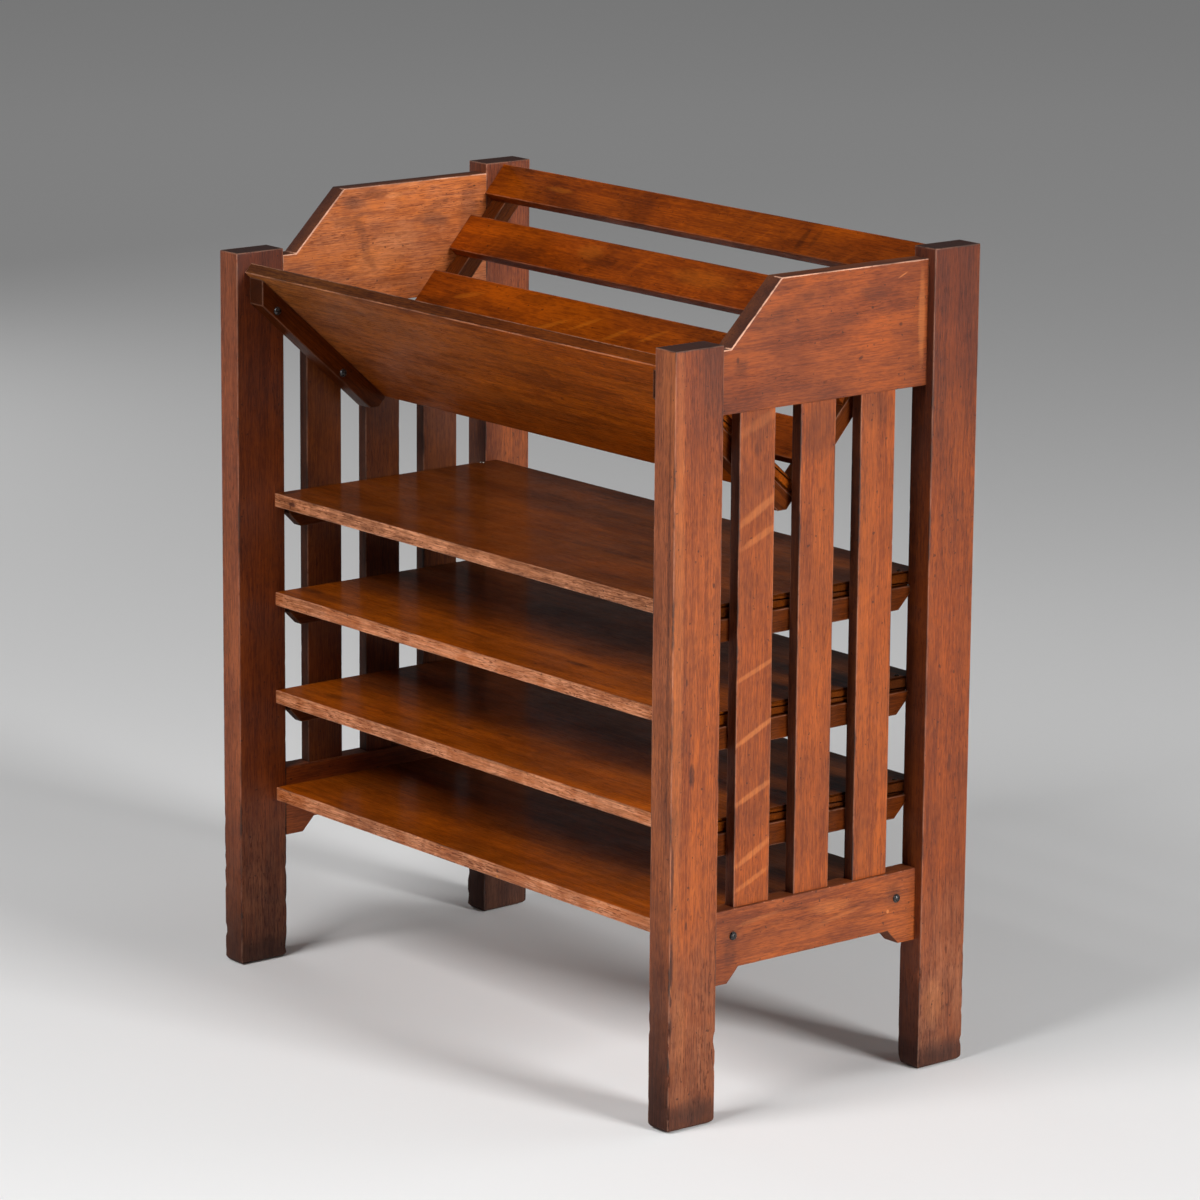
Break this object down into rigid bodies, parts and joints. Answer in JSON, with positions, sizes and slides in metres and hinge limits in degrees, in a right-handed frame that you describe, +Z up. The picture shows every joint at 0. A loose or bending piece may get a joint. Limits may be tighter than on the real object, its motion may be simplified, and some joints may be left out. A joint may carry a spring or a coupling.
{
  "type": "book trough",
  "caption": "Free-standing open book stand: a V-shaped trough of a front board and rear slats between four posts, over open shelves with slatted sides.",
  "frame": {"origin": "on the floor, in the middle of the box round the four feet", "axes": "+Z up, +X to the right seen from the front, +Y from the low front to the tall rear"},
  "size_m": [0.708, 0.371, 0.8],
  "materials": {
    "oak_posts": "satin wax over dark stain, worn arrises",
    "oak_side_boards": "satin wax over red-brown stain",
    "oak_side_slats": "satin wax over red-brown stain, quarter-sawn figure",
    "oak_shelves": "satin wax over red-brown stain",
    "oak_trough_board": "satin wax over brown stain",
    "oak_trough_slats": "satin wax over golden brown stain",
    "oak_battens": "satin wax over dark stain",
    "black_screws": "black japanned, slightly worn",
    "nails": "dull bright steel"
  },
  "bodies": {
    "root": {"post_front_left": "oak_posts", "post_front_right": "oak_posts", "post_rear_left": "oak_posts", "post_rear_right": "oak_posts", "end_board_left": "oak_side_boards", "end_board_right": "oak_side_boards", "rail_left": "oak_side_boards", "rail_right": "oak_side_boards", "side_slat_left_front": "oak_side_slats", "side_slat_left_middle": "oak_side_slats", "side_slat_left_rear": "oak_side_slats", "side_slat_right_front": "oak_side_slats", "side_slat_right_middle": "oak_side_slats", "side_slat_right_rear": "oak_side_slats", "shelf_bottom": "oak_shelves", "shelf_lower": "oak_shelves", "shelf_upper": "oak_shelves", "shelf_top": "oak_shelves", "shelf_bearer_lower_left": "oak_battens", "shelf_bearer_lower_right": "oak_battens", "shelf_bearer_upper_left": "oak_battens", "shelf_bearer_upper_right": "oak_battens", "shelf_bearer_top_left": "oak_battens", "shelf_bearer_top_right": "oak_battens", "trough_front_board": "oak_trough_board", "trough_slat_lowest": "oak_trough_slats", "trough_slat_lower": "oak_trough_slats", "trough_slat_upper": "oak_trough_slats", "trough_slat_top": "oak_trough_slats", "trough_batten_front_left": "oak_battens", "trough_batten_front_right": "oak_battens", "trough_batten_rear_left": "oak_battens", "trough_batten_rear_right": "oak_battens", "batten_screws": "black_screws", "rail_screws": "black_screws", "shelf_nails": "nails"}
  },
  "joints": []
}
